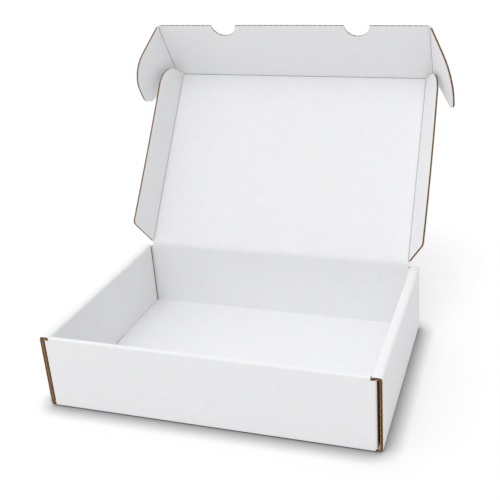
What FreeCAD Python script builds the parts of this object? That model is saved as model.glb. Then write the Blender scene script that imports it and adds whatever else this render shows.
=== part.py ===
# White corrugated mailer box, standing open. The tray is folded from one piece of board: its side
# walls roll over into double walls that hold the corner ears, and its front wall is rolled over too.
# The lid is hinged on the back wall. It carries two side flaps and a front flap with two thumb
# notches, and the front flap has a rounded ear at each end that tucks into a slot of the tray.
# Frame: X to the right, Y to the back, Z up, origin under the middle of the tray. Millimetres.
import FreeCAD, Part
import math
import os

V = FreeCAD.Vector
Rotation = FreeCAD.Rotation

# Outside size of the tray
LENGTH = 330.0
DEPTH = 218.0
HEIGHT = 76.0

# The board: two liners and a fluted sheet between them
BOARD = 2.4
LINER = 0.35
MEDIUM = 0.3
FLUTE_PITCH = 6.4
FLUTE_TIP = 0.8
FLUTE_WEB = 0.6

# Folds within one piece
BEND_OUTSIDE = 2.7
BEND_INSIDE = BEND_OUTSIDE - BOARD
LAYER_GAP = 0.2
EDGE_GAP = 0.3

# Side walls: outer wall, slot for a lid ear, corner ear, inner wall
SLOT_CLEARANCE = 0.2
SLOT = BOARD + SLOT_CLEARANCE
LEDGE = 3 * BOARD + SLOT + LAYER_GAP
SIDE_SETBACK = 1.6
BACK_GAP = 0.7
CORNER_EAR = 66.0
TAB_WIDTH = 42.0
TAB_CLEARANCE = 0.4
SECTION_REACH = 20.0

# Creases between moving pieces
BEAD_RADIUS = 0.5
HINGE_CLEARANCE = 0.3
INNER_BEVEL = 30.0
OUTER_BEVEL = 60.0
LID_SEAT_GAP = 0.3

# Lid: it covers the tray, and its side flaps go in between the side walls
SIDE_CLEARANCE = 0.6
SIDE_FLAP = 43.0
SIDE_FLAP_START = 2.0
SIDE_FLAP_CHAMFER = 12.0
SIDE_FLAP_HEEL_RADIUS = 5.0
SIDE_FLAP_END_RADIUS = 30.0
FLAP_END_GAP = 2.0
FLOOR_GAP = 1.0
NOTCH_RADIUS = 14.5
NOTCH_SPACING = 159.0
EAR_REACH = 67.0
EAR_START = 5.0
EAR_SHOULDER = 17.0
EAR_TOP_RADIUS = 36.0
EAR_HEEL_RADIUS = 16.5

# How far each fold is closed as the box stands, from flat
LID_TILT = 53.5
FRONT_FLAP_FOLD = 66.8
LEFT_FLAP_FOLD = 80.9
RIGHT_FLAP_FOLD = 65.4
LEFT_EAR_FOLD = 77.0
RIGHT_EAR_FOLD = 64.0

# Places that follow from the sizes above
INNER_X = LENGTH / 2 - LEDGE
EAR_X = LENGTH / 2 - BOARD - SLOT
FRONT_Y = -DEPTH / 2
BACK_Y = DEPTH / 2
STUB_TOP = HEIGHT - BOARD - LAYER_GAP
HINGE_Y = BACK_Y - BOARD / 2
HINGE_Z = HEIGHT + LID_SEAT_GAP + BOARD / 2
LID_WIDTH = 2 * (INNER_X - SIDE_CLEARANCE) - BOARD
LID_DEPTH = HINGE_Y - (FRONT_Y - LID_SEAT_GAP - BOARD / 2)
FRONT_FLAP = HINGE_Z - FLOOR_GAP
FRONT_FLAP_WIDTH = LENGTH - 2 * BOARD - SLOT
MARGIN = 1.0
TOUCHING = 1e-6


def corner_points(before, corner, after, radius):
    """Start, middle and end of the arc that rounds one corner of an outline."""
    to_before = (before - corner).normalize()
    to_after = (after - corner).normalize()
    half = to_before.getAngle(to_after) / 2
    start = corner + to_before * (radius / math.tan(half))
    end = corner + to_after * (radius / math.tan(half))
    inward = (to_before + to_after).normalize()
    middle = corner + inward * (radius / math.sin(half) - radius)
    return start, middle, end


def outline(corners, place):
    """A closed wire through corners of (u, v) or (u, v, radius), set in space by place(u, v)."""
    points = [place(c[0], c[1]) for c in corners]
    edges = []
    first = None
    last = None
    for i, corner in enumerate(corners):
        if len(corner) == 3:
            ring = (points[i - 1], points[i], points[(i + 1) % len(points)])
            start, middle, end = corner_points(*ring, corner[2])
            arc = Part.Arc(start, middle, end).toShape()
        else:
            start = end = points[i]
            arc = None
        if last is None:
            first = start
        elif last.distanceToPoint(start) > TOUCHING:
            edges.append(Part.makeLine(last, start))
        if arc is not None:
            edges.append(arc)
        last = end
    edges.append(Part.makeLine(last, first))
    return Part.Wire(edges)


def face_with_holes(corners, holes, place):
    """A flat face with its holes."""
    wires = [outline(corners, place)] + [outline(hole, place) for hole in holes]
    return Part.makeFace(wires, "Part::FaceMakerBullseye")


def flutes(start, end, to_section):
    """The open channels of the fluted sheet along a straight run of board, from start to end.

    They alternate between the two liners. to_section turns (distance along the run, height above
    the middle of the board) into a point of the section.
    """
    low = LINER - BOARD / 2
    high = BOARD / 2 - LINER - MEDIUM
    foot = FLUTE_PITCH - 2 * FLUTE_WEB - FLUTE_TIP
    count = int((end - start - foot) / (FLUTE_PITCH / 2)) + 1
    first = (start + end) / 2 - (count - 1) * FLUTE_PITCH / 4
    channels = []
    for i in range(count):
        centre = first + i * FLUTE_PITCH / 2
        side = 1 if i % 2 == 0 else -1
        channel = [(centre - foot / 2, side * low), (centre + foot / 2, side * low),
                   (centre + FLUTE_TIP / 2, side * high), (centre - FLUTE_TIP / 2, side * high)]
        channels.append([to_section(*point) for point in channel])
    return channels


def side_wall(side):
    """One side wall: up from the base, over the ledge and down again, with its flutes open."""
    outer = LENGTH / 2
    wall = [(outer - SECTION_REACH, 0), (outer, 0, BEND_OUTSIDE), (outer, HEIGHT, BEND_OUTSIDE),
            (INNER_X, HEIGHT, BEND_OUTSIDE), (INNER_X, BOARD + LAYER_GAP),
            (INNER_X + BOARD, BOARD + LAYER_GAP), (INNER_X + BOARD, HEIGHT - BOARD, BEND_INSIDE),
            (outer - BOARD, HEIGHT - BOARD, BEND_INSIDE), (outer - BOARD, BOARD, BEND_INSIDE),
            (outer - SECTION_REACH, BOARD)]
    straight = (BEND_OUTSIDE + MARGIN, HEIGHT - BEND_OUTSIDE - MARGIN)
    holes = flutes(*straight, lambda along, up: (outer - BOARD / 2 + up, along))
    holes += flutes(*straight, lambda along, up: (INNER_X + BOARD / 2 - up, along))
    holes += flutes(INNER_X + BEND_OUTSIDE, outer - BEND_OUTSIDE,
                    lambda along, up: (along, HEIGHT - BOARD / 2 + up))
    length = DEPTH - 2 * SIDE_SETBACK
    face = face_with_holes(wall, holes, lambda x, z: V(side * x, FRONT_Y + SIDE_SETBACK, z))
    solid = face.extrude(V(0, length, 0))
    # The inner wall stops short of the front wall and of the back wall.
    low = side * (INNER_X - MARGIN)
    wide = BOARD + LAYER_GAP / 2 + MARGIN
    left = low if side > 0 else low - wide
    for y, gap in ((FRONT_Y, BOARD + EDGE_GAP), (BACK_Y - BOARD - BACK_GAP, BOARD + BACK_GAP)):
        solid = solid.cut(Part.makeBox(wide, gap, STUB_TOP, V(left, y, BOARD)))
    return solid


def corner_ear(side, end):
    """The ear that the front or back wall turns into the side wall, up at one corner."""
    wall_y = end * DEPTH / 2
    back = -end
    plan = [(EAR_X - SECTION_REACH, wall_y), (EAR_X, wall_y, BEND_OUTSIDE),
            (EAR_X, wall_y + back * CORNER_EAR), (EAR_X - BOARD, wall_y + back * CORNER_EAR),
            (EAR_X - BOARD, wall_y + back * BOARD, BEND_INSIDE),
            (EAR_X - SECTION_REACH, wall_y + back * BOARD)]
    bottom = BOARD + EDGE_GAP
    face = face_with_holes(plan, [], lambda x, y: V(side * x, y, bottom))
    return face.extrude(V(0, 0, STUB_TOP - bottom))


def front_wall():
    """The double front wall, rolled over between the side walls."""
    inside = FRONT_Y + 2 * BOARD + LAYER_GAP
    section = [(FRONT_Y + SECTION_REACH, 0), (FRONT_Y, 0, BEND_OUTSIDE), (FRONT_Y, HEIGHT, BOARD),
               (inside, HEIGHT, BOARD), (inside, BOARD + LAYER_GAP),
               (inside - BOARD, BOARD + LAYER_GAP), (inside - BOARD, HEIGHT - BOARD),
               (FRONT_Y + BOARD, HEIGHT - BOARD), (FRONT_Y + BOARD, BOARD, BEND_INSIDE),
               (FRONT_Y + SECTION_REACH, BOARD)]
    half = INNER_X - LAYER_GAP
    face = face_with_holes(section, [], lambda y, z: V(-half, y, z))
    return face.extrude(V(2 * half, 0, 0))


def low_wall(end):
    """The single wall at the front or back end, as high as the side ledges let its corners be."""
    wall_y = end * DEPTH / 2
    into = -end
    section = [(wall_y + into * SECTION_REACH, 0), (wall_y, 0, BEND_OUTSIDE), (wall_y, STUB_TOP),
               (wall_y + into * BOARD, STUB_TOP), (wall_y + into * BOARD, BOARD, BEND_INSIDE),
               (wall_y + into * SECTION_REACH, BOARD)]
    half = EAR_X - BEND_OUTSIDE
    face = face_with_holes(section, [], lambda y, z: V(-half, y, z))
    return face.extrude(V(2 * half, 0, 0))


def crease_frame(origin, into, inside):
    """The placement of a crease: X runs into the board, Z towards the inside face of the fold."""
    along = inside.cross(into)
    matrix = FreeCAD.Matrix(into.x, along.x, inside.x, origin.x,
                            into.y, along.y, inside.y, origin.y,
                            into.z, along.z, inside.z, origin.z, 0, 0, 0, 1)
    return FreeCAD.Placement(matrix)


def crease_rod(radius, length):
    """A round rod on a crease line."""
    return Part.makeCylinder(radius, length, V(0, -length / 2, 0), V(0, 1, 0))


def bevelled(board, origin, into, inside, length, bead):
    """A board with the two bevels of a crushed crease at its edge.

    One of the two boards at a crease ends in a thin bead on the crease line, and the other in a
    hollow that runs round the bead with clearance.
    """
    place = crease_frame(origin, into, inside)
    reach = BOARD / 2 + MARGIN
    for up, angle in ((1, INNER_BEVEL), (-1, OUTER_BEVEL)):
        run = reach / math.tan(math.radians(angle))
        wedge = [(0, 0), (-MARGIN, 0), (-MARGIN, up * reach), (run, up * reach)]
        face = face_with_holes(wedge, [], lambda x, z: V(x, -length / 2 - MARGIN, z))
        cutter = face.extrude(V(0, length + 2 * MARGIN, 0))
        cutter.Placement = place
        board = board.cut(cutter)
    if bead:
        rod = crease_rod(BEAD_RADIUS, length)
        rod.Placement = place
        return board.fuse(rod).removeSplitter()
    rod = crease_rod(BEAD_RADIUS + HINGE_CLEARANCE, length + 2 * MARGIN)
    rod.Placement = place
    return board.cut(rod)


def back_panel():
    """The middle of the back wall, which carries the lid's crease."""
    panel = Part.makeBox(LID_WIDTH, BOARD, HINGE_Z - BEND_OUTSIDE,
                         V(-LID_WIDTH / 2, BACK_Y - BOARD, BEND_OUTSIDE))
    return bevelled(panel, V(0, HINGE_Y, HINGE_Z), V(0, 0, -1), V(0, -1, 0), LID_WIDTH, True)


def tray():
    """The whole tray, one folded piece of board."""
    base = Part.makeBox(LENGTH - 2 * BEND_OUTSIDE, DEPTH - 2 * BEND_OUTSIDE, BOARD,
                        V(BEND_OUTSIDE - LENGTH / 2, BEND_OUTSIDE - DEPTH / 2, 0))
    walls = [side_wall(1), side_wall(-1), front_wall(), low_wall(-1), low_wall(1), back_panel()]
    ears = [corner_ear(side, end) for side in (1, -1) for end in (1, -1)]
    solid = base.fuse(walls + ears)
    # Each inner side wall has a tab at its lower edge, locked in a slot of the base.
    for side in (1, -1):
        middle = side * (INNER_X + BOARD / 2)
        slot_x = BOARD + 2 * EDGE_GAP
        slot_y = TAB_WIDTH + 2 * TAB_CLEARANCE
        solid = solid.cut(Part.makeBox(slot_x, slot_y, BOARD + MARGIN,
                                       V(middle - slot_x / 2, -slot_y / 2, -MARGIN)))
        tab = Part.makeBox(BOARD, TAB_WIDTH, BOARD + LAYER_GAP + MARGIN - EDGE_GAP,
                           V(middle - BOARD / 2, -TAB_WIDTH / 2, EDGE_GAP))
        solid = solid.fuse(tab)
    return solid.removeSplitter()


def fluted_board(corners, low, high):
    """A flat board in the XY plane with flutes along Y, cut to an outline of corners.

    low and high are the ends of the outline's box, as (x, y).
    """
    half = BOARD / 2
    strip = [(low[0], -half), (high[0], -half), (high[0], half), (low[0], half)]
    edge = LINER
    holes = flutes(low[0] + edge, high[0] - edge, lambda along, up: (along, up))
    sheet = face_with_holes(strip, holes, lambda x, z: V(x, low[1], z)).extrude(V(0, high[1] - low[1], 0))
    face = face_with_holes(corners, [], lambda x, y: V(x, y, -BOARD))
    return sheet.common(face.extrude(V(0, 0, 2 * BOARD)))


def lid_place():
    """The lid's own frame: Y runs up the lid from its crease, Z out of its inside face."""
    return FreeCAD.Placement(V(0, HINGE_Y, HINGE_Z), Rotation(V(1, 0, 0), LID_TILT))


def front_flap_place():
    """The front flap's frame: Y runs from its crease to its free edge, Z out of its inside face."""
    fold = FreeCAD.Placement(V(0, LID_DEPTH, 0), Rotation(V(1, 0, 0), FRONT_FLAP_FOLD))
    return lid_place().multiply(fold)


def turned(side, fold, crease_x):
    """The frame of a flap at one side of its carrier: X runs away from the middle."""
    turn = Rotation(V(0, 1, 0), -side * fold)
    return FreeCAD.Placement(V(side * crease_x, 0, 0), turn)


def mirrored(shape, side):
    """The shape itself for the right side, and its mirror image for the left."""
    return shape if side > 0 else shape.mirror(V(0, 0, 0), V(1, 0, 0))


def lid_panel():
    """The lid's flat panel, with a crease at each of its four edges."""
    width = LID_WIDTH
    panel = Part.makeBox(width, LID_DEPTH, BOARD, V(-width / 2, 0, -BOARD / 2))
    inside = V(0, 0, 1)
    panel = bevelled(panel, V(0, 0, 0), V(0, 1, 0), inside, width, False)
    panel = bevelled(panel, V(0, LID_DEPTH, 0), V(0, -1, 0), inside, width, True)
    crease = LID_DEPTH - SIDE_FLAP_START - FLAP_END_GAP
    middle = SIDE_FLAP_START + crease / 2
    for side in (1, -1):
        panel = bevelled(panel, V(side * width / 2, middle, 0), V(-side, 0, 0), inside, crease, True)
    return panel


def front_flap():
    """The front flap, with two half-round thumb notches in its free edge."""
    half = FRONT_FLAP_WIDTH / 2
    panel_half = LID_WIDTH / 2
    shoulder = EAR_START - EDGE_GAP
    corners = [(-panel_half, 0), (panel_half, 0), (panel_half, shoulder), (half, shoulder),
               (half, FRONT_FLAP), (-half, FRONT_FLAP), (-half, shoulder), (-panel_half, shoulder)]
    flap = fluted_board(corners, (-half, 0), (half, FRONT_FLAP))
    for side in (1, -1):
        notch = Part.makeCylinder(NOTCH_RADIUS, 2 * BOARD, V(side * NOTCH_SPACING / 2, FRONT_FLAP, -BOARD))
        flap = flap.cut(notch)
    inside = V(0, 0, 1)
    flap = bevelled(flap, V(0, 0, 0), V(0, 1, 0), inside, LID_WIDTH, False)
    crease = FRONT_FLAP - EAR_START
    for side in (1, -1):
        middle = V(side * half, EAR_START + crease / 2, 0)
        flap = bevelled(flap, middle, V(-side, 0, 0), inside, crease, True)
    return flap


def side_flap(side):
    """A side flap of the lid: chamfered at its hinge end, rounded at its front end."""
    start = SIDE_FLAP_START
    end = LID_DEPTH - FLAP_END_GAP
    corners = [(0, start), (SIDE_FLAP, start + SIDE_FLAP_CHAMFER, SIDE_FLAP_HEEL_RADIUS),
               (SIDE_FLAP, end, SIDE_FLAP_END_RADIUS), (0, end)]
    flap = fluted_board(corners, (0, start), (SIDE_FLAP, end))
    middle = V(0, (start + end) / 2, 0)
    flap = bevelled(flap, middle, V(1, 0, 0), V(0, 0, 1), end - start, False)
    return mirrored(flap, side)


def ear(side):
    """An ear of the front flap, rounded so that it swings into its slot."""
    corners = [(0, EAR_START), (EAR_REACH, EAR_START, EAR_HEEL_RADIUS),
               (EAR_REACH, FRONT_FLAP - EAR_SHOULDER, EAR_TOP_RADIUS), (0, FRONT_FLAP)]
    flap = fluted_board(corners, (0, EAR_START), (EAR_REACH, FRONT_FLAP))
    middle = (EAR_START + FRONT_FLAP) / 2
    flap = bevelled(flap, V(0, middle, 0), V(1, 0, 0), V(0, 0, 1), FRONT_FLAP - EAR_START, False)
    return mirrored(flap, side)


def moved(shape, place):
    """The shape carried from the frame it was drawn in to its place on the box."""
    copy = shape.copy()
    copy.Placement = place.multiply(copy.Placement)
    return copy


def build():
    """Every piece by its node name."""
    pieces = {"tray": tray(), "lid_panel": moved(lid_panel(), lid_place()),
              "lid_front_flap": moved(front_flap(), front_flap_place())}
    sides = (("left", -1, LEFT_FLAP_FOLD, LEFT_EAR_FOLD), ("right", 1, RIGHT_FLAP_FOLD, RIGHT_EAR_FOLD))
    for name, side, flap_fold, ear_fold in sides:
        at_lid = turned(side, flap_fold, LID_WIDTH / 2)
        at_flap = turned(side, ear_fold, FRONT_FLAP_WIDTH / 2)
        pieces["lid_side_flap_" + name] = moved(side_flap(side), lid_place().multiply(at_lid))
        pieces["lid_ear_" + name] = moved(ear(side), front_flap_place().multiply(at_flap))
    return pieces


os.makedirs("parts", exist_ok=True)
for node, shape in build().items():
    solids = shape.Solids
    shape = solids[0] if len(solids) == 1 else Part.makeCompound(solids)
    shape.exportStep("parts/" + node + ".step")
    print(node, "solids", len(solids), "valid", shape.isValid(), "volume %.0f" % shape.Volume)
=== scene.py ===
"""White corrugated mailer box, standing open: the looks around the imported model."""
import math

import bpy
import numpy as np
from mathutils import Matrix, Vector


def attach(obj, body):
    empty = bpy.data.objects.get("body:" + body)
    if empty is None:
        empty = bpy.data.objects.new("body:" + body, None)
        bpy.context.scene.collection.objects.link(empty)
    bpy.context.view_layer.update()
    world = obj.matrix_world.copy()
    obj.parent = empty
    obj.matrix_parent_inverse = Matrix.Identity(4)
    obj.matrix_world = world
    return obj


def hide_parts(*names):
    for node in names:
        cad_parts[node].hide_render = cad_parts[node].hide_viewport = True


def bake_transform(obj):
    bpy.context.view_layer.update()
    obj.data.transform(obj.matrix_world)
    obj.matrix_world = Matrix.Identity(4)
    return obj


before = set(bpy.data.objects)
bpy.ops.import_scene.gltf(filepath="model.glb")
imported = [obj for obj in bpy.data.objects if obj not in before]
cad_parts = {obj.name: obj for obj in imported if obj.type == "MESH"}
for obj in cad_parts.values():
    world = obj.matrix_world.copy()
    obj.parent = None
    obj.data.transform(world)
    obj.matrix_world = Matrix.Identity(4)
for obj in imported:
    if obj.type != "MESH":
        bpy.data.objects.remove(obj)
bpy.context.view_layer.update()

MM = 0.001

# Sizes of the tray in millimetres, as the model has them
LENGTH = 330.0
DEPTH = 218.0
HEIGHT = 76.0
BOARD = 2.4
LINER = 0.35
MEDIUM = 0.3
FLUTE_PITCH = 6.4
BEND_OUTSIDE = 2.7
LAYER_GAP = 0.2
EDGE_GAP = 0.3
LEDGE = 10.0
SIDE_SETBACK = 1.6
# How far each inner side wall stops short of the back wall
BACK_GAP = {-1: 2.0, 1: 0.3}
CORNER_EAR = 66.0
TAB_WIDTH = 42.0
TAB_CLEARANCE = 0.4
INNER_X = LENGTH / 2 - LEDGE
EAR_X = 160.0
FRONT_Y = -DEPTH / 2
BACK_Y = DEPTH / 2
STUB_TOP = 73.4
BEND_INSET = 1.4
FRONT_RADIUS = 1.5
FRONT_STEPS = 28
# How far the front and back walls bow
WALL_SWAY = 0.5
BACK_SWAY = 0.4

# Lid, flaps and ears
HINGE_Y = 107.8
HINGE_Z = 77.5
LID_WIDTH = 306.4
LID_DEPTH = 218.3
SIDE_FLAP = 43.0
SIDE_FLAP_START = 2.0
SIDE_FLAP_CHAMFER = 12.0
SIDE_FLAP_HEEL_RADIUS = 5.0
SIDE_FLAP_END_RADIUS = 30.0
FLAP_END_GAP = 2.0
FRONT_FLAP = 76.5
FRONT_FLAP_WIDTH = 322.6
FLAP_SHOULDER = 2.0
NOTCH_RADIUS = 14.5
NOTCH_SPACING = 159.0
# The bowed front flap is this much shorter in the middle, to stay inside the model's box
FLAP_DRAW_IN = 1.3
EAR_REACH = 67.0
EAR_START = 5.0
EAR_SHOULDER = 17.0
EAR_TOP_RADIUS = 36.0
EAR_HEEL_RADIUS = 16.5
LID_TILT = 53.5
FRONT_FLAP_FOLD = 66.8
SIDE_FLAP_FOLD = {-1: 80.9, 1: 65.4}
EAR_FOLD = {-1: 77.0, 1: 64.0}
SIDE_NAME = {-1: "left", 1: "right"}

# How far the panels bow
LID_BOW = 0.5
FRONT_FLAP_BOW = 2.2
SIDE_FLAP_BOW = {-1: 0.9, 1: -1.2}
EAR_BOW = -0.1

# Creases: each is a strip of this reach on both sides of its line
CREASE = 2.5
CREASE_TURN = 1.3
# How far the painted groove shade reaches from a crease's line
FOLD_SHADE = 0.75
GROOVE_ROOT = 0.28
GROOVE_LIP = 0.10
GROOVE_LIP_WIDTH = 0.25
SOFT_DIP = 0.45
SOFT_DIP_REACH = 1.3
CREASE_STEPS = 24
# A strip turns from one body to the next within this reach of its line
CREASE_PLACES = (-CREASE, -2.0, -1.6, -1.25, -0.95, -0.7, -0.5, -0.3, -0.12)
# How far the side flaps' creases may close in all, in degrees, which sets the angle of their grooves
SIDE_FLAP_CLOSING = {-1: 98.0, 1: 116.0}
# The same for the front flap and the ears, in degrees past their fold at rest
CLOSING_MORE = 4

WHITE, KRAFT = 0, 1
HALF = BOARD / 2
MIDDLE = HALF - LINER
FLUTE_HEIGHT = MIDDLE - MEDIUM / 2
# The fluted sheet: its points to a flute, and how far it stops inside the liners' ends
FLAT_FLUTE_POINTS = 8
BENT_FLUTE_POINTS = 10
FLUTE_INSET = 0.2
FLUTE_END_INSET = 0.25
FLUTE_CUT_INSET = 0.15
# Where the flutes start along the outer side wall, the inner side wall and the end wall
OUTER_FLUTES, INNER_FLUTES, END_FLUTES = 1.1, 2.3, 0.7
# Small offsets that keep faces from lying in each other
SEAM = 0.05
BASE_SEAM = 0.02


# Paths and outlines

def rounded(corners, step=7.5):
    """Points of an open path through (u, v) or (u, v, radius) corners, with arcs at the radii."""
    points = []
    for i, corner in enumerate(corners):
        here = np.array(corner[:2], float)
        if len(corner) == 2:
            points.append(here)
            continue
        before = np.array(corners[i - 1][:2], float) - here
        after = np.array(corners[i + 1][:2], float) - here
        before /= np.linalg.norm(before)
        after /= np.linalg.norm(after)
        half = math.acos(float(np.clip(before @ after, -1, 1))) / 2
        radius = corner[2]
        start = here + before * radius / math.tan(half)
        inward = (before + after) / np.linalg.norm(before + after)
        centre = here + inward * radius / math.sin(half)
        turn = math.pi - 2 * half
        count = max(2, int(math.degrees(turn) / step) + 1)
        arm = start - centre
        sign = 1 if before[0] * after[1] - before[1] * after[0] < 0 else -1
        for k in range(count + 1):
            a = sign * turn * k / count
            points.append(centre + np.array([arm[0] * math.cos(a) - arm[1] * math.sin(a),
                                             arm[0] * math.sin(a) + arm[1] * math.cos(a)]))
    return np.array(points)


def edge_function(points):
    """A function of x that follows a path, for the stretch of it where x grows."""
    xs = [points[0][0]]
    ys = [points[0][1]]
    for x, y in points[1:]:
        if x > xs[-1] + 1e-6:
            xs.append(x)
            ys.append(y)
    return lambda x: np.interp(x, xs, ys)


def offset(points, distance):
    """An open path moved sideways by distance, to its left where that is positive."""
    step = np.diff(points, axis=0)
    step /= np.linalg.norm(step, axis=1)[:, None]
    before = np.vstack([step[:1], step])
    after = np.vstack([step, step[-1:]])
    left = np.stack([-(before + after)[:, 1], (before + after)[:, 0]], 1)
    left /= np.linalg.norm(left, axis=1)[:, None]
    square = np.stack([-before[:, 1], before[:, 0]], 1)
    scale = 1 / np.maximum(0.3, (left * square).sum(1))
    return points + left * (distance * scale)[:, None]


# Pieces

class Piece:
    """The faces of one piece, gathered in millimetres in the piece's own drawing frame."""

    def __init__(self):
        self.points = []
        self.across = []
        # Painted groove shade of points, by their number
        self.fold = {}
        self.faces = []
        self.kinds = []

    def grid(self, rows, kind, across, closed_u=False, flip=False):
        """A sheet of quads over rows of points. across gives each point's place across the flutes."""
        rows = np.asarray(rows, float)
        m, n = rows.shape[:2]
        base = len(self.points)
        self.points.extend(rows.reshape(-1, 3))
        self.across.extend(np.broadcast_to(across, (m, n)).reshape(-1))
        for i in range(m if closed_u else m - 1):
            j = (i + 1) % m
            for k in range(n - 1):
                quad = [base + i * n + k, base + j * n + k, base + j * n + k + 1, base + i * n + k + 1]
                self.faces.append(quad[::-1] if flip else quad)
                self.kinds.append(kind)

    def block(self, rows_low, rows_high, kind_low, kind_high, kind_edge, across):
        """A closed block between two sheets of the same layout, low first."""
        low = np.asarray(rows_low, float)
        high = np.asarray(rows_high, float)
        self.grid(low, kind_low, across, flip=True)
        self.grid(high, kind_high, across)
        flat = np.broadcast_to(across, low.shape[:2])
        ring = [(i, 0) for i in range(low.shape[0])]
        ring += [(low.shape[0] - 1, k) for k in range(1, low.shape[1])]
        ring += [(i, low.shape[1] - 1) for i in range(low.shape[0] - 2, -1, -1)]
        ring += [(0, k) for k in range(low.shape[1] - 2, 0, -1)]
        wall = [[low[i, k] for i, k in ring], [high[i, k] for i, k in ring]]
        side = np.array([flat[i, k] for i, k in ring])
        self.grid(np.transpose(np.array(wall), (1, 0, 2)), kind_edge,
                  np.stack([side, side], 1), closed_u=True, flip=True)

    def sweep(self, loop, place, start, end, kinds, across=None, steps=1, end_kind=KRAFT):
        """A closed 2D loop carried from start to end. place(u, v, w) gives the point in space."""
        loop = np.asarray(loop, float)
        levels = np.linspace(start, end, steps + 1)
        n = len(loop)
        base = len(self.points)
        for w in levels:
            self.points.extend(np.array([place(u, v, w) for u, v in loop]))
            self.across.extend(across if across is not None else np.zeros(n))
        for s in range(steps):
            for i in range(n):
                j = (i + 1) % n
                a = base + s * n
                self.faces.append([a + i, a + j, a + n + j, a + n + i])
                self.kinds.append(kinds if isinstance(kinds, int) else kinds[i])
        self.faces.append([base + i for i in range(n)][::-1])
        self.faces.append([base + steps * n + i for i in range(n)])
        self.kinds.extend([end_kind, end_kind])

    def layered(self, path, place, start, end, flute_start=0.0, shade_kraft_from=None, cap=KRAFT):
        """A corrugated board that follows a 2D path: two liners with a fluted sheet between them.

        shade_kraft_from gives, for a side of the path, the number of the point from which it is drawn in
        kraft instead of its white liner, as painted shade inside cavities and slots.
        cap is the paper of the two cut ends.
        """
        along = np.concatenate([[0], np.cumsum(np.linalg.norm(np.diff(path, axis=0), axis=1))])
        for side in (1, -1):
            outer = offset(path, side * HALF)
            inner = offset(path, side * MIDDLE)
            loop = np.vstack([outer, inner[::-1]])
            whites = (shade_kraft_from or {}).get(side, len(path))
            shown = [WHITE if i < whites else KRAFT for i in range(len(path) - 1)]
            kinds = shown + [KRAFT] * (len(path) + 1)
            where = np.concatenate([along, along[::-1]]) + flute_start
            self.sweep(loop, place, start, end, kinds, where, steps=6, end_kind=cap)
        count = max(8, int(along[-1] / FLUTE_PITCH * BENT_FLUTE_POINTS))
        s = np.linspace(FLUTE_INSET, along[-1] - FLUTE_INSET, count)
        centre = np.stack([np.interp(s, along, path[:, 0]), np.interp(s, along, path[:, 1])], 1)
        wave = FLUTE_HEIGHT * np.sin(2 * math.pi * (s + flute_start) / FLUTE_PITCH)
        normal = offset(centre, 1.0) - centre
        normal /= np.linalg.norm(normal, axis=1)[:, None]
        line = centre + normal * wave[:, None]
        loop = np.vstack([offset(line, MEDIUM / 2), offset(line, -MEDIUM / 2)[::-1]])
        low, high = min(start, end) + FLUTE_CUT_INSET, max(start, end) - FLUTE_CUT_INSET
        self.sweep(loop, place, low, high, KRAFT, steps=1, end_kind=cap)

    def build(self, name, place=None, mirror=False):
        """Makes the Blender object, set in the row frame by place."""
        points = np.array(self.points, float)
        faces = self.faces
        if mirror:
            points = points * np.array([-1, 1, 1])
            faces = [f[::-1] for f in faces]
        if place is not None:
            m = np.array(place, float)
            points = points @ m[:3, :3].T + m[:3, 3]
        mesh = bpy.data.meshes.new(name)
        mesh.from_pydata((points * MM).tolist(), [], faces)
        mesh.materials.append(LINER_PAPER)
        mesh.materials.append(KRAFT_PAPER)
        mesh.polygons.foreach_set("material_index", self.kinds)
        attribute = mesh.attributes.new("across", "FLOAT", "POINT")
        attribute.data.foreach_set("value", np.array(self.across, np.float32))
        # The fold value holds each point's painted groove shade
        fold = mesh.attributes.new("fold", "FLOAT", "POINT")
        shades = [self.fold.get(i, 0.0) for i in range(len(points))]
        fold.data.foreach_set("value", np.array(shades, np.float32))
        mesh.validate()
        mesh.update()
        obj = bpy.data.objects.new(name, mesh)
        bpy.context.scene.collection.objects.link(obj)
        return obj


# Paper

def paper_nodes(material):
    """An empty node tree with its shader."""
    material.use_nodes = True
    tree = material.node_tree
    tree.nodes.clear()
    out = tree.nodes.new("ShaderNodeOutputMaterial")
    shader = tree.nodes.new("ShaderNodeBsdfPrincipled")
    tree.links.new(shader.outputs[0], out.inputs[0])
    return tree, shader


def calculated(tree, operation, value, number):
    """A Math node on a value and a number."""
    made = tree.nodes.new("ShaderNodeMath")
    made.operation = operation
    made.inputs[1].default_value = number
    tree.links.new(value, made.inputs[0])
    return made.outputs[0]


def bumped(tree, height, strength, distance, under=None):
    """A Bump node, on top of another one where under is given."""
    made = tree.nodes.new("ShaderNodeBump")
    made.inputs["Strength"].default_value = strength
    made.inputs["Distance"].default_value = distance
    tree.links.new(height, made.inputs["Height"])
    if under is not None:
        tree.links.new(under, made.inputs["Normal"])
    return made.outputs[0]


def stored(tree, name):
    """The value that the mesh stores under a name."""
    made = tree.nodes.new("ShaderNodeAttribute")
    made.attribute_name = name
    return made.outputs["Fac"]


def textured(tree, vector, scale, detail):
    """A noise texture over the object's own coordinates."""
    made = tree.nodes.new("ShaderNodeTexNoise")
    made.inputs["Scale"].default_value = scale
    made.inputs["Detail"].default_value = detail
    tree.links.new(vector, made.inputs["Vector"])
    return made.outputs["Fac"]


def ramp(tree, value, stops):
    """A colour ramp with (place, colour) stops."""
    made = tree.nodes.new("ShaderNodeValToRGB")
    made.color_ramp.elements[0].position = stops[0][0]
    made.color_ramp.elements[0].color = (*stops[0][1], 1)
    made.color_ramp.elements[1].position = stops[-1][0]
    made.color_ramp.elements[1].color = (*stops[-1][1], 1)
    for place, colour in stops[1:-1]:
        made.color_ramp.elements.new(place).color = (*colour, 1)
    tree.links.new(value, made.inputs[0])
    return made.outputs[0]


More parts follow.
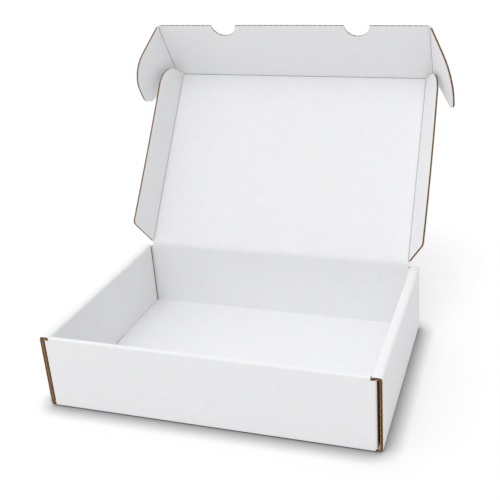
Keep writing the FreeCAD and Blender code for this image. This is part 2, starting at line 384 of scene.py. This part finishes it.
# The white liner's two tints, and the near-black painted shade deep in a pressed groove
LINER_TINTS = ((0.32, (0.862, 0.864, 0.875)), (0.68, (0.880, 0.882, 0.893)))
GROOVE_PAINTED_SHADE = (0.13, 0.125, 0.12, 1)
GROOVE_SHADE = 0.8
KRAFT_TINTS = ((0.3, (0.31, 0.175, 0.080)), (0.52, (0.53, 0.325, 0.165)), (0.75, (0.72, 0.49, 0.28)))
# Kraft gets painted shade inside channels of about this width, in metres
CHANNEL_REACH = 0.003


def liner_paper():
    """White top liner: faintly mottled, with fine fibres and the flutes just showing through, and painted
    shade in pressed grooves.
    """
    material = bpy.data.materials.new("white_liner")
    tree, shader = paper_nodes(material)
    coords = tree.nodes.new("ShaderNodeTexCoord").outputs["Object"]
    tint = ramp(tree, textured(tree, coords, 130, 6), LINER_TINTS)
    # Painted shade: the liner is mixed towards near-black by the stored fold value, deep in pressed grooves
    painted_groove_shade = tree.nodes.new("ShaderNodeMix")
    painted_groove_shade.data_type = "RGBA"
    tree.links.new(calculated(tree, "MULTIPLY", stored(tree, "fold"), GROOVE_SHADE), painted_groove_shade.inputs["Factor"])
    tree.links.new(tint, painted_groove_shade.inputs["A"])
    painted_groove_shade.inputs["B"].default_value = GROOVE_PAINTED_SHADE
    tree.links.new(painted_groove_shade.outputs["Result"], shader.inputs["Base Color"])
    shader.inputs["Roughness"].default_value = 0.62
    shader.inputs["Specular IOR Level"].default_value = 0.3
    fibres = bumped(tree, textured(tree, coords, 900, 5), 0.12, 0.0001)
    lumps = bumped(tree, textured(tree, coords, 120, 3), 0.07, 0.0004, fibres)
    phase = calculated(tree, "MULTIPLY", stored(tree, "across"), 2 * math.pi / FLUTE_PITCH)
    wave = calculated(tree, "SINE", phase, 0.0)
    tree.links.new(bumped(tree, wave, 0.10, 0.00006, lumps), shader.inputs["Normal"])
    return material


def kraft_paper():
    """Brown kraft of the cut edges and of the fluted sheet, with painted shade in its channels."""
    material = bpy.data.materials.new("kraft_edge")
    tree, shader = paper_nodes(material)
    coords = tree.nodes.new("ShaderNodeTexCoord").outputs["Object"]
    # Painted shade: an occlusion node darkens the kraft's colour in its flute channels and crevices
    painted_channel_shade = tree.nodes.new("ShaderNodeAmbientOcclusion")
    painted_channel_shade.inputs["Distance"].default_value = CHANNEL_REACH
    painted_channel_shade.samples = 8
    tree.links.new(ramp(tree, textured(tree, coords, 700, 4), KRAFT_TINTS), painted_channel_shade.inputs["Color"])
    tree.links.new(painted_channel_shade.outputs["Color"], shader.inputs["Base Color"])
    shader.inputs["Roughness"].default_value = 0.85
    shader.inputs["Specular IOR Level"].default_value = 0.15
    fibres = bumped(tree, textured(tree, coords, 1500, 3), 0.35, 0.00015)
    tree.links.new(fibres, shader.inputs["Normal"])
    return material


LINER_PAPER = liner_paper()
KRAFT_PAPER = kraft_paper()


# Flat boards

ROW_STEP = 14.0
EDGE_ROWS = (0.0, 0.35, 1.0)
EDGE_CRUSH = 0.16
EDGE_CRUSH_REACH = 0.5


def flat_board(xs, low, high, warp, edge=KRAFT, flutes=True):
    """A flat corrugated board between the curves low(x) and high(x), with flutes along Y.

    warp(x, y) is its slight bow, and edge the paper of the liners' cut edges and insides.
    The liners are pressed together a little at the cut edges.
    """
    piece = Piece()
    xs = np.asarray(xs, float)
    first, last = xs[0], xs[-1]
    lows = low(xs)
    highs = high(xs)
    rows = max(2, int((highs - lows).max() / ROW_STEP))
    inner = np.linspace(0, 1, rows + 1)[1:-1]
    outline = np.vstack([np.stack([xs, lows], 1), np.stack([xs[::-1], highs[::-1]], 1)])
    a = outline
    b = np.roll(outline, -1, axis=0)
    grid = np.zeros((len(xs), 2 * len(EDGE_ROWS) + len(inner), 2))
    for i, x in enumerate(xs):
        room = (highs[i] - lows[i]) / 2
        near = [min(e, room * 0.45 * (k + 1) / len(EDGE_ROWS)) if k else 0.0 for k, e in enumerate(EDGE_ROWS)]
        y0, y1 = lows[i] + near[-1], highs[i] - near[-1]
        ys = [lows[i] + e for e in near] + list(y0 + (y1 - y0) * inner) + [highs[i] - e for e in near[::-1]]
        grid[i, :, 0] = x
        grid[i, :, 1] = ys
    flat = grid.reshape(-1, 2)
    along = b - a
    length = (along ** 2).sum(1)
    length[length == 0] = 1
    t = np.clip(((flat[:, None] - a[None]) * along[None]).sum(2) / length, 0, 1)
    gap = np.linalg.norm(flat[:, None] - (a[None] + t[..., None] * along[None]), axis=2).min(1)
    crush = (EDGE_CRUSH * np.exp(-(gap / EDGE_CRUSH_REACH) ** 2)).reshape(grid.shape[:2])
    bow = warp(grid[..., 0], grid[..., 1])

    def sheet(z):
        return np.dstack([grid, bow + z - math.copysign(1, z) * crush])

    across = grid[..., 0]
    piece.block(sheet(MIDDLE), sheet(HALF), edge, WHITE, edge, across)
    piece.block(sheet(-HALF), sheet(-MIDDLE), WHITE, edge, edge, across)
    if flutes:
        count = int((last - first) / FLUTE_PITCH * FLAT_FLUTE_POINTS)
        fine = np.linspace(first + FLUTE_END_INSET, last - FLUTE_END_INSET, count + 1)
        fine_low = low(fine) + FLUTE_INSET
        fine_high = high(fine) - FLUTE_INSET
        part = np.linspace(0, 1, rows + 1)
        ys = fine_low[:, None] + (fine_high - fine_low)[:, None] * part
        grid_x = np.broadcast_to(fine[:, None], ys.shape)
        height = FLUTE_HEIGHT - EDGE_CRUSH / 2
        wave = height * np.sin(2 * math.pi * grid_x / FLUTE_PITCH) + warp(grid_x, ys)
        piece.block(np.dstack([grid_x, ys, wave - MEDIUM / 2]), np.dstack([grid_x, ys, wave + MEDIUM / 2]),
                    KRAFT, KRAFT, KRAFT, grid_x)
    return piece


def columns(start, end, step, *paths):
    """Places for a board's columns: even ones, those near its two ends, and a path's own points."""
    xs = list(np.linspace(start, end, max(2, int((end - start) / step)) + 1))
    xs += [start + 0.35, start + 1.0, end - 0.35, end - 1.0]
    for path in paths:
        xs += [p[0] for p in path if start < p[0] < end]
    xs = sorted(xs)
    kept = [xs[0]]
    for x in xs[1:]:
        if x - kept[-1] > 0.12:
            kept.append(x)
    kept[-1] = end
    return np.array(kept)


def turn(axis, degrees):
    return Matrix.Rotation(math.radians(degrees), 4, axis)


LID_PLACE = Matrix.Translation((0, HINGE_Y, HINGE_Z)) @ turn("X", LID_TILT)
FLAP_PLACE = LID_PLACE @ Matrix.Translation((0, LID_DEPTH, 0)) @ turn("X", FRONT_FLAP_FOLD)


def side_place(carrier, side, at, fold):
    """The frame of a flap at one side of its carrier. The flap is drawn for the right and mirrored."""
    return carrier @ Matrix.Translation((side * at, 0, 0)) @ turn("Y", -side * fold)


# Creases

def crease(name, place, fold, closing, ends, mirror=False, across_along=True):
    """A creased strip from one board to the next, folded about its line.

    closing is how far the fold closes in all, which opens its pressed groove. None is a soft fold.
    It is drawn along Y: the carrier lies at X below 0, the folded board at X above 0 and turned
    by fold towards +Z, its inside. ends(x) gives where the strip starts and stops along Y.
    across_along says that the flutes lie across the strip, and not along it.
    """
    places = np.array(CREASE_PLACES)
    places = np.concatenate([places, [0.0], -places[::-1]])
    if closing is None:
        inner = HALF - SOFT_DIP * np.exp(-(places / SOFT_DIP_REACH) ** 2)
        inner[[0, -1]] = HALF
    else:
        slope = math.tan(math.radians(90 - closing / 2 - 2))
        inner = np.minimum(HALF, GROOVE_ROOT + np.abs(places) * slope)
        lip = np.exp(-((inner - HALF) / GROOVE_LIP_WIDTH) ** 2) * (np.abs(places) < CREASE - 0.3)
        inner -= GROOVE_LIP * lip
    outer = -HALF + 0.0 * places
    weight = np.clip((places + CREASE_TURN) / (2 * CREASE_TURN), 0, 1)
    weight = weight * weight * (3 - 2 * weight)
    angle = np.radians(fold) * weight

    def folded(x, z):
        return x * np.cos(angle) - z * np.sin(angle), x * np.sin(angle) + z * np.cos(angle)

    top = np.stack(folded(places, inner), 1)
    bottom = np.stack(folded(places, outer), 1)
    piece = Piece()
    ys = [ends(x) for x in places]
    steps = CREASE_STEPS
    low = np.zeros((len(places), steps + 1, 3))
    high = np.zeros_like(low)
    across = np.zeros((len(places), steps + 1))
    for i, (y0, y1) in enumerate(ys):
        run = np.linspace(y0, y1, steps + 1)
        low[i] = np.stack([np.full(steps + 1, bottom[i, 0]), run, np.full(steps + 1, bottom[i, 1])], 1)
        high[i] = np.stack([np.full(steps + 1, top[i, 0]), run, np.full(steps + 1, top[i, 1])], 1)
        across[i] = run if across_along else places[i]
    piece.block(low, high, WHITE, WHITE, WHITE, across)
    count = low.shape[0] * low.shape[1]
    # Painted shade along the root of a pressed groove; a soft fold gets none
    if closing:
        for i, x in enumerate(places):
            for k in range(steps + 1):
                piece.fold[count + i * (steps + 1) + k] = math.exp(-(x / FOLD_SHADE) ** 2)
    obj = piece.build(name, place, mirror)
    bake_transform(obj)
    return obj


# The lid

def lid_panel():
    half = LID_WIDTH / 2 - CREASE
    xs = columns(-half, half, 12)
    level = lambda value: lambda x: np.full_like(np.asarray(x, float), value)

    def warp(x, y):
        return -LID_BOW * np.cos(x / half * math.pi / 2) * np.sin(np.clip(y / LID_DEPTH, 0, 1) * math.pi)

    piece = flat_board(xs, level(CREASE), level(LID_DEPTH - CREASE), warp, flutes=False)
    obj = piece.build("lid_board", LID_PLACE)
    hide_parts("lid_panel")
    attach(obj, "lid")


def front_flap():
    half = FRONT_FLAP_WIDTH / 2
    body = LID_WIDTH / 2
    lower = [(-half, FLAP_SHOULDER), (-body - 0.3, FLAP_SHOULDER), (-body, CREASE), (body, CREASE),
             (body + 0.3, FLAP_SHOULDER), (half, FLAP_SHOULDER)]
    top = lambda x: FRONT_FLAP - FLAP_DRAW_IN * math.cos(x / half * math.pi / 2)
    upper = [(x, top(x)) for x in np.linspace(-half, -NOTCH_SPACING / 2 - NOTCH_RADIUS - 1, 9)]
    for side in (-1, 1):
        middle = side * NOTCH_SPACING / 2
        for k in range(25):
            a = math.pi * k / 24
            x = middle - NOTCH_RADIUS * math.cos(a)
            upper.append((x, top(x) - NOTCH_RADIUS * math.sin(a)))
        reach = (half if side > 0 else NOTCH_SPACING / 2 - NOTCH_RADIUS) - 1
        upper += [(x, top(x)) for x in np.linspace(middle + NOTCH_RADIUS + 1, reach, 9)]
    upper.append((half, FRONT_FLAP))
    low = edge_function(lower)
    high = edge_function(upper)
    edge = half - CREASE
    xs = columns(-edge, edge, 7, lower, upper)

    def warp(x, y):
        rise = np.clip(y / FRONT_FLAP, 0, 1) ** 1.6
        return -FRONT_FLAP_BOW * np.cos(np.clip(x / half, -1, 1) * math.pi / 2) * rise

    obj = flat_board(xs, low, high, warp, edge=WHITE).build("front_flap_board", FLAP_PLACE)
    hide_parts("lid_front_flap")
    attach(obj, "front_flap")


def side_flap(side):
    end = LID_DEPTH - FLAP_END_GAP
    chamfered = SIDE_FLAP_START + SIDE_FLAP_CHAMFER
    heel = rounded([(0, SIDE_FLAP_START), (SIDE_FLAP, chamfered, SIDE_FLAP_HEEL_RADIUS),
                    (SIDE_FLAP, end / 2)])
    nose = rounded([(0, end), (SIDE_FLAP, end, SIDE_FLAP_END_RADIUS), (SIDE_FLAP, end / 2)], step=4)
    xs = columns(CREASE, SIDE_FLAP, 4, heel, nose)

    def warp(x, y):
        across = np.clip((x - CREASE) / SIDE_FLAP, 0, 1)
        return SIDE_FLAP_BOW[side] * across ** 2 * np.cos((y / LID_DEPTH - 0.45) * math.pi)

    piece = flat_board(xs, edge_function(heel), edge_function(nose), warp)
    name = SIDE_NAME[side]
    place = side_place(LID_PLACE, side, LID_WIDTH / 2, SIDE_FLAP_FOLD[side])
    obj = piece.build("side_flap_board_" + name, place, side < 0)
    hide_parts("lid_side_flap_" + name)
    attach(obj, "side_flap_" + name)


def ear(side):
    heel = rounded([(0, EAR_START), (EAR_REACH, EAR_START, EAR_HEEL_RADIUS),
                    (EAR_REACH, FRONT_FLAP - EAR_SHOULDER - EAR_TOP_RADIUS)], step=4)
    nose = rounded([(0, FRONT_FLAP), (EAR_REACH, FRONT_FLAP - EAR_SHOULDER, EAR_TOP_RADIUS),
                    (EAR_REACH, EAR_START)], step=4)
    xs = columns(CREASE, EAR_REACH, 4, heel, nose)

    def warp(x, y):
        return EAR_BOW * (np.clip(x - CREASE, 0, None) / EAR_REACH) ** 2 + 0 * y

    piece = flat_board(xs, edge_function(heel), edge_function(nose), warp)
    name = SIDE_NAME[side]
    place = side_place(FLAP_PLACE, side, FRONT_FLAP_WIDTH / 2, EAR_FOLD[side])
    obj = piece.build("ear_board_" + name, place, side < 0)
    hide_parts("lid_ear_" + name)
    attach(obj, "ear_" + name)


def creases():
    """The six creased strips that join the moving boards."""
    half = LID_WIDTH / 2
    straight = lambda x: (-half, half)
    # The lid leans back from the back wall, so its fold is a negative one.
    wall = Matrix.Translation((0, HINGE_Y, HINGE_Z)) @ turn("X", 90)
    strip = Matrix(((0, -1, 0, 0), (1, 0, 0, 0), (0, 0, 1, 0), (0, 0, 0, 1)))
    crease("crease_lid", wall @ strip, LID_TILT - 90, None, straight)
    top = LID_PLACE @ Matrix.Translation((0, LID_DEPTH, 0))
    crease("crease_front_flap", top @ strip, FRONT_FLAP_FOLD, FRONT_FLAP_FOLD + CLOSING_MORE,
           straight)
    first = CREASE
    last = LID_DEPTH - CREASE
    for side in (-1, 1):
        name = SIDE_NAME[side]
        place = LID_PLACE @ Matrix.Translation((side * LID_WIDTH / 2, 0, 0))
        ends = lambda x: (first, last)
        crease("crease_side_flap_" + name, place, SIDE_FLAP_FOLD[side], SIDE_FLAP_CLOSING[side],
               ends, side < 0, across_along=False)
        place = FLAP_PLACE @ Matrix.Translation((side * FRONT_FLAP_WIDTH / 2, 0, 0))
        drop = EAR_SHOULDER / EAR_REACH * CREASE
        ends = lambda x: (EAR_START, FRONT_FLAP - drop * max(0, x) / CREASE)
        crease("crease_ear_" + name, place, EAR_FOLD[side], EAR_FOLD[side] + CLOSING_MORE,
               ends, side < 0, across_along=False)


# The tray

def base(piece):
    """The base, with the two slots that the side walls' tabs lock into."""
    half_x = LENGTH / 2 - BEND_OUTSIDE
    half_y = DEPTH / 2 - BEND_OUTSIDE
    slot = INNER_X + BOARD / 2
    wide = BOARD / 2 + EDGE_GAP
    long = TAB_WIDTH / 2 + TAB_CLEARANCE
    bands = [(-half_x, -slot - wide), (-slot - wide, -slot + wide), (-slot + wide, slot - wide),
             (slot - wide, slot + wide), (slot + wide, half_x)]
    for i, (x0, x1) in enumerate(bands):
        runs = [(-half_y, -long), (-long, long), (long, half_y)]
        if i in (1, 3):
            del runs[1]
        for y0, y1 in runs:
            xs = np.linspace(x0, x1, max(1, int((x1 - x0) / 12)) + 1)
            ys = np.linspace(y0, y1, max(1, int((y1 - y0) / 12)) + 1)
            flat = np.stack(np.meshgrid(xs, ys, indexing="ij"), 2)
            shape = flat.shape[:2]
            piece.block(np.dstack([flat, np.zeros(shape)]), np.dstack([flat, np.full(shape, BOARD)]),
                        WHITE, WHITE, KRAFT, flat[..., 0])


def bend(piece, place, start, end):
    """The quarter turn from the base up into a wall."""
    outside = rounded([(BEND_OUTSIDE, 0), (0, 0, BEND_OUTSIDE), (0, BEND_OUTSIDE)])[1:-1]
    radius = BEND_OUTSIDE - BOARD
    inside = rounded([(BEND_OUTSIDE, BOARD), (BOARD, BOARD, radius), (BOARD, BEND_OUTSIDE)])[1:-1]
    loop = np.vstack([outside, inside[::-1]])
    piece.sweep(loop, place, start, end, WHITE)


def side_wall(piece, side):
    """One side wall: outer wall, ledge and inner wall, with the flutes open at the ends."""
    outer = LENGTH / 2 - HALF
    inner = INNER_X + HALF
    radius = BEND_OUTSIDE - HALF
    top = HEIGHT - HALF
    turned = side < 0

    def place(u, v, w):
        return (side * u, w, v)

    first, last = FRONT_Y + SIDE_SETBACK, BACK_Y - SIDE_SETBACK
    if turned:
        first, last = last, first
    path = rounded([(LENGTH / 2 - BEND_OUTSIDE, HALF), (outer, HALF, radius), (outer, top, radius),
                    (inner, top, radius), (inner, HEIGHT - BEND_OUTSIDE - SEAM)], step=9)
    path[0] = (LENGTH / 2 - BEND_OUTSIDE - BASE_SEAM, HALF)
    # The side of this path inside the wall's cavity is drawn in kraft instead of white liner, as painted
    # shade
    piece.layered(path, place, last, first, OUTER_FLUTES, {1: 0})
    first, last = FRONT_Y + BOARD + EDGE_GAP, BACK_Y - BOARD - BACK_GAP[side]
    if turned:
        first, last = last, first
    path = np.array([(inner, HEIGHT - BEND_OUTSIDE - SEAM), (inner, 40.0), (inner, BOARD + LAYER_GAP)])
    piece.layered(path, place, last, first, INNER_FLUTES)
    middle = INNER_X + BOARD / 2
    tab = [(middle - HALF, EDGE_GAP), (middle + HALF, EDGE_GAP), (middle + HALF, BOARD + LAYER_GAP),
           (middle - HALF, BOARD + LAYER_GAP)]
    ends = (TAB_WIDTH / 2, -TAB_WIDTH / 2)
    piece.sweep(tab, place, *(ends[::-1] if turned else ends), KRAFT)


def front_wall(piece):
    """The rolled-over front wall, with a narrow flat on top between its two creases."""
    inside = 2 * BOARD + LAYER_GAP
    under = HEIGHT - BOARD
    outline = rounded([(BEND_OUTSIDE, 0), (0, 0, BEND_OUTSIDE),
                       (0, HEIGHT, FRONT_RADIUS), (inside, HEIGHT, FRONT_RADIUS),
                       (inside, BOARD + LAYER_GAP), (inside - BOARD, BOARD + LAYER_GAP),
                       (inside - BOARD, under), (BOARD, under), (BOARD, BEND_OUTSIDE)], step=12)
    outline = np.vstack([outline, [[BEND_OUTSIDE, BOARD]]])
    half = INNER_X - LAYER_GAP

    def place(u, v, w):
        height = min(1.0, max(0.0, v / HEIGHT))
        sway = WALL_SWAY * math.cos(w / half * math.pi / 2) * math.sin(height * math.pi)
        return (w, FRONT_Y + u + sway, v)

    piece.sweep(outline, place, half, -half, WHITE, steps=FRONT_STEPS)


def end_wall(piece, end):
    """The single wall at the front or back end, and the two ears turned in from it."""
    wall = end * (DEPTH / 2 - HALF)
    into = -end
    radius = BEND_OUTSIDE - HALF
    for side in (-1, 1):
        start = INNER_X - LAYER_GAP if end < 0 else LID_WIDTH / 2
        path = rounded([(start, wall), (INNER_X + 0.2, wall), (EAR_X - HALF, wall, radius),
                        (EAR_X - HALF, wall + into * (CORNER_EAR - HALF))], step=9)
        flipped = side * end > 0

        def place(u, v, w):
            return (side * u, v, w)

        ends = (BOARD + EDGE_GAP, STUB_TOP)
        # Inside the side wall's cavity the ear is drawn in kraft on both sides instead of white liner, as
        # painted shade, so the slot looks dark
        shade_kraft_from = {end: len(path) - 2, -end: 1}
        piece.layered(path, place, *(ends if flipped else ends[::-1]), END_FLUTES, shade_kraft_from, WHITE)


def back_panel(piece):
    """The middle of the back wall, up to the lid's crease."""
    half = LID_WIDTH / 2
    xs = np.linspace(-half, half, 27)
    zs = np.linspace(BEND_OUTSIDE, HINGE_Z - CREASE, 9)
    grid_x, grid_z = np.meshgrid(xs, zs, indexing="ij")
    rise = (grid_z - BEND_OUTSIDE) / (HINGE_Z - BEND_OUTSIDE)
    sway = BACK_SWAY * np.cos(grid_x / half * math.pi / 2) * np.sin(rise * math.pi)
    near = np.dstack([grid_x, BACK_Y - BOARD + sway, grid_z])
    far = np.dstack([grid_x, BACK_Y + 0 * sway, grid_z])
    piece.block(far, near, WHITE, WHITE, KRAFT, grid_x)


def tray():
    """The whole tray as one piece."""
    piece = Piece()
    base(piece)
    for side in (-1, 1):
        side_wall(piece, side)
    front_wall(piece)
    end_wall(piece, -1)
    end_wall(piece, 1)
    back_panel(piece)
    stub = EAR_X - BEND_OUTSIDE
    corner = EAR_X - BEND_INSET
    narrow = INNER_X - LAYER_GAP
    for low, high in ((-corner, -narrow), (narrow, corner)):
        bend(piece, lambda u, v, w: (w, FRONT_Y + u, v), high, low)
    bend(piece, lambda u, v, w: (w, BACK_Y - u, v), -stub, stub)
    obj = piece.build("tray_board")
    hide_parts("tray")
    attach(obj, "tray")


tray()
lid_panel()
front_flap()
for each in (-1, 1):
    side_flap(each)
    ear(each)
creases()


# Stage, light and camera

# The floor, in metres: its grey as it lights the box, and its paler grey as it is seen, which
# is darkened near what stands on it as painted contact shade
FLOOR_REACH = 30.0
FLOOR_DROP = 0.0002
FLOOR_GREY = 0.86
FLOOR_SHOWN = 0.98
CONTACT_REACH = 0.02
CONTACT_POWER = 1.4

# Light from all round, and more from the left, from behind and from above
WORLD_BASE = 0.44
WORLD_SIDES = (((-1, 0, 0), 0.5), ((0, 1, 0), 0.34), ((0, 0, 1), 0.38))
KEY_ENERGY = 0.72
KEY_ANGLE = 40
KEY_FROM = (0, -0.5, 0.866)

# The camera that was fitted to the photograph
LENS = 55.822
SHIFT = (-0.13, -0.10)
CAMERA_AT = (0.2711, -0.64838, 0.45306)
CAMERA_RIGHT = (0.96337344, 0.2650791, -0.04055471)
CAMERA_UP = (-0.0600869, 0.36076466, 0.9307193)


def stage_floor():
    """A pale floor that reads white to the camera, keeps the box's shadow and has painted contact shade near
    the box.
    """
    mesh = bpy.data.meshes.new("floor")
    reach = FLOOR_REACH
    corners = [(-reach, -reach, 0), (reach, -reach, 0), (reach, reach, 0), (-reach, reach, 0)]
    mesh.from_pydata(corners, [], [(0, 1, 2, 3)])
    obj = bpy.data.objects.new("floor", mesh)
    bpy.context.scene.collection.objects.link(obj)
    obj.location.z = -FLOOR_DROP
    material = bpy.data.materials.new("floor_paper")
    tree, shader = paper_nodes(material)
    out = [n for n in tree.nodes if n.type == "OUTPUT_MATERIAL"][0]
    shader.inputs["Base Color"].default_value = (FLOOR_GREY, FLOOR_GREY, FLOOR_GREY, 1)
    shader.inputs["Roughness"].default_value = 0.9
    shader.inputs["Specular IOR Level"].default_value = 0.0
    path = tree.nodes.new("ShaderNodeLightPath")
    shown = path.outputs["Is Camera Ray"]
    for ray in ("Is Glossy Ray", "Is Transmission Ray"):
        either = tree.nodes.new("ShaderNodeMath")
        either.operation = "MAXIMUM"
        tree.links.new(shown, either.inputs[0])
        tree.links.new(path.outputs[ray], either.inputs[1])
        shown = either.outputs[0]
    bright = tree.nodes.new("ShaderNodeBsdfDiffuse")
    # Painted contact shade: an occlusion node darkens the floor's colour as seen, near the box
    contact = tree.nodes.new("ShaderNodeAmbientOcclusion")
    contact.inputs["Distance"].default_value = CONTACT_REACH
    contact.samples = 24
    painted_contact_shade = calculated(tree, "POWER", contact.outputs["AO"], CONTACT_POWER)
    tree.links.new(calculated(tree, "MULTIPLY", painted_contact_shade, FLOOR_SHOWN), bright.inputs["Color"])
    mix = tree.nodes.new("ShaderNodeMixShader")
    tree.links.new(shown, mix.inputs[0])
    tree.links.new(shader.outputs[0], mix.inputs[1])
    tree.links.new(bright.outputs[0], mix.inputs[2])
    tree.links.new(mix.outputs[0], out.inputs[0])
    mesh.materials.append(material)


def world_light():
    """Soft light from all round. The camera sees the world as white."""
    world = bpy.data.worlds.new("studio")
    bpy.context.scene.world = world
    world.use_nodes = True
    tree = world.node_tree
    tree.nodes.clear()
    out = tree.nodes.new("ShaderNodeOutputWorld")
    soft = tree.nodes.new("ShaderNodeBackground")
    soft.inputs[0].default_value = (1, 1, 1, 1)
    coords = tree.nodes.new("ShaderNodeTexCoord")
    total = None
    for direction, strength in WORLD_SIDES:
        part = tree.nodes.new("ShaderNodeVectorMath")
        part.operation = "DOT_PRODUCT"
        part.inputs[1].default_value = direction
        tree.links.new(coords.outputs["Generated"], part.inputs[0])
        lit = calculated(tree, "MAXIMUM", part.outputs["Value"], 0.0)
        added = tree.nodes.new("ShaderNodeMath")
        added.operation = "MULTIPLY_ADD"
        added.inputs[1].default_value = strength
        added.inputs[2].default_value = WORLD_BASE
        tree.links.new(lit, added.inputs[0])
        if total is not None:
            tree.links.new(total, added.inputs[2])
        total = added.outputs[0]
    tree.links.new(total, soft.inputs[1])
    seen = tree.nodes.new("ShaderNodeBackground")
    seen.inputs[0].default_value = (1, 1, 1, 1)
    seen.inputs[1].default_value = 1.0
    path = tree.nodes.new("ShaderNodeLightPath")
    mix = tree.nodes.new("ShaderNodeMixShader")
    tree.links.new(path.outputs["Is Camera Ray"], mix.inputs[0])
    tree.links.new(soft.outputs[0], mix.inputs[1])
    tree.links.new(seen.outputs[0], mix.inputs[2])
    tree.links.new(mix.outputs[0], out.inputs[0])


def key_light():
    """A wide, weak sun from the front and above."""
    data = bpy.data.lights.new("key", "SUN")
    data.energy = KEY_ENERGY
    data.angle = math.radians(KEY_ANGLE)
    obj = bpy.data.objects.new("key", data)
    bpy.context.scene.collection.objects.link(obj)
    towards = Vector(KEY_FROM)
    obj.rotation_mode = "QUATERNION"
    obj.rotation_quaternion = towards.to_track_quat("Z", "Y")
    obj.location = towards * 3


def camera():
    """The camera, at the photograph's viewing angle."""
    data = bpy.data.cameras.new("camera")
    data.sensor_width = 36
    data.lens = LENS
    data.shift_x, data.shift_y = SHIFT
    data.clip_start = 0.01
    data.clip_end = 100
    obj = bpy.data.objects.new("camera", data)
    bpy.context.scene.collection.objects.link(obj)
    right = Vector(CAMERA_RIGHT)
    up = Vector(CAMERA_UP)
    back = right.cross(up)
    basis = Matrix((right, up, back)).transposed().to_4x4()
    obj.matrix_world = Matrix.Translation(CAMERA_AT) @ basis
    bpy.context.scene.camera = obj


stage_floor()
world_light()
key_light()
camera()
bpy.context.scene.view_settings.view_transform = "Standard"
